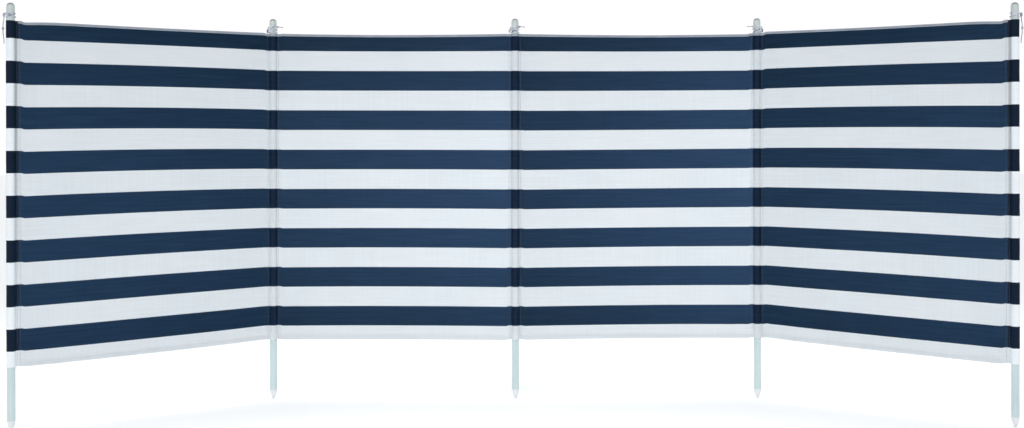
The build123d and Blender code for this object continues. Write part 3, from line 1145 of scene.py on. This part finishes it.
def make_pocket(number):
    random = np.random.default_rng(500 + number)
    at_end = number in END_POLES
    if at_end:
        place = Upright(POLES[number], POLES[END_POLES[number]] - POLES[number])
        outline, top = end_outline(), CLOTH_TOP - END_POCKET_SHORT
        room = POLE_RADIUS + END_POCKET_ROOM
        inside = circle(room, len(outline), INSIDE_GAP, TAU - INSIDE_GAP)
    else:
        place = Upright(POLES[number], Vector((1, 0, 0)))
        outline, top = circle(POCKET_RADIUS, POCKET_SIDES), CLOTH_TOP
        inside = circle(POCKET_RADIUS - POCKET_PLY, POCKET_SIDES)
    *along, whole = along_line(np.concatenate([outline, outline[:1]]))
    around, z = np.meshgrid(along, uneven(CLOTH_LOW, top, POCKET_ROWS, 0.3), indexing="ij")
    swell = pocket_swell(random, around, z, whole, top)
    outside = outline[:, None] + outward(outline)[:, None] * swell[..., None]
    hung = z + pocket_lift(number, z)
    grids = [place.at(g[..., 0], g[..., 1], hung) for g in (outside, inside[:, None])]
    cloths = [SHADED_END_POCKET_CLOTH] if at_end else [CLOTH, TAPE]
    # End pockets get painted light and painted shade; the others none.
    fade = end_painted_light(outside[..., 0], z) if at_end else 0.0
    piece = make_cloth_piece(f"pocket_{number}_cloth", *grids, around, z, fade, cloths, around=True)
    if not at_end:
        heights = np.tile(z.ravel(), 2)
        for face in piece.data.polygons:
            if heights[list(face.vertices)].mean() > CLOTH_TOP - TAPE_HEIGHT:
                face.material_index = 1
    place_piece(piece, POLE_BODIES[number], f"pocket_{number}")
    [make_lip_stitching(number, place, random)] if at_end else []


def make_lip_stitching(number, place, random):
    end = CLOTH_TOP - END_POCKET_SHORT - LIP_ROW_END
    z = np.arange(CLOTH_LOW + LOW_END, end, STITCH_PITCH)
    rows = []
    for side in (1, -1):
        x, front = POCKET_RADIUS + LIP_ROW, side * LIP_ROW_FRONT
        centres = place.at(x, front, z + pocket_lift(number, z))
        out = np.broadcast_to(side * place.front, centres.shape)
        rows.append(stitch_row(random, centres, np.broadcast_to(UP, centres.shape), out))
    piece = make_piece(f"pocket_{number}_stitches", *joined(rows), [THREAD], sharp=80)
    place_piece(piece, POLE_BODIES[number])
    return piece


for bay_number in BAY_POLES:
    make_bay(bay_number)
for pole in POLES:
    make_pocket(pole)


# Poles ----------


def dress(node, material):
    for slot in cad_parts[node].material_slots:
        slot.link = "OBJECT"
        slot.material = material


for pole in POLES:
    dress(f"pole_{pole}_tube", COATING)
    dress(f"pole_{pole}_cap", PLASTIC)
    dress(f"pole_{pole}_spike", PLASTIC)


# Floor and light ----------

KEY_POWER = 15
CEILING_POWER = 21
SKY_STRENGTH = 2.0
# The share of that to the sides, and the sideways part of the direction over which it fades.
SIDE_SHARE, SIDE_START, SIDE_END = 0.7, 0.50, 0.92
# The sky's colour at each height, which is the upward part of the direction.
SKY = [
    (0.15, (0.51, 0.51, 0.51, 1)),
    (0.30, (0.12, 0.13, 0.14, 1)),
    (0.60, (0.31, 0.335, 0.355, 1)),
    (0.85, (0.73, 0.73, 0.73, 1)),
]


def make_floor():
    half = 40.0
    points = [(-half, -half, 0), (half, -half, 0), (half, half, 0), (-half, half, 0)]
    mesh = bpy.data.meshes.new("floor")
    mesh.from_pydata(points, [], [(0, 1, 2, 3)])
    mesh.materials.append(floor_paint())
    add_object("floor", mesh)


def make_area_light(name, place, target, size, power, spread):
    data = bpy.data.lights.new(name, "AREA")
    data.shape = "RECTANGLE"
    data.size, data.size_y = size
    data.energy = power
    data.spread = math.radians(spread)
    light = add_object(name, data)
    light.location = place
    light.rotation_euler = (Vector(target) - Vector(place)).to_track_quat("-Z", "Y").to_euler()
    light.visible_camera = False


def make_world():
    """A pale room: white near the horizon, dim above it, bright overhead, softer to the sides."""
    world = bpy.data.worlds.new("studio")
    graph = Graph(world)
    x, _, z = graph.split(graph.node("TexCoord").outputs["Generated"])
    ramp = graph.node("ValToRGB", z)
    stops = ramp.color_ramp.elements
    while len(stops) < len(SKY):
        stops.new(0.5)
    for stop, (height, colour) in zip(stops, SKY):
        stop.position = height
        stop.color = colour
    aside = graph.math("ABSOLUTE", x)
    side_strength = SKY_STRENGTH * SIDE_SHARE
    strength = graph.scale(aside, SIDE_START, SIDE_END, SKY_STRENGTH, side_strength)
    background = graph.node("Background", ramp.outputs["Color"], strength)
    graph.node("OutputWorld", background.outputs[0])
    bpy.context.scene.world = world


make_floor()
make_world()
make_area_light("key", (-1.0, -9.2, 2.0), (0.0, 0.0, 0.75), (2.6, 2.2), KEY_POWER, 50)
make_area_light("ceiling", (0.1, 0.4, 5.0), (0.1, 0.4, 0.0), (6.0, 3.4), CEILING_POWER, 44)

view = bpy.context.scene.view_settings
view.view_transform = "Standard"
view.look = "None"
view.exposure = 0.0
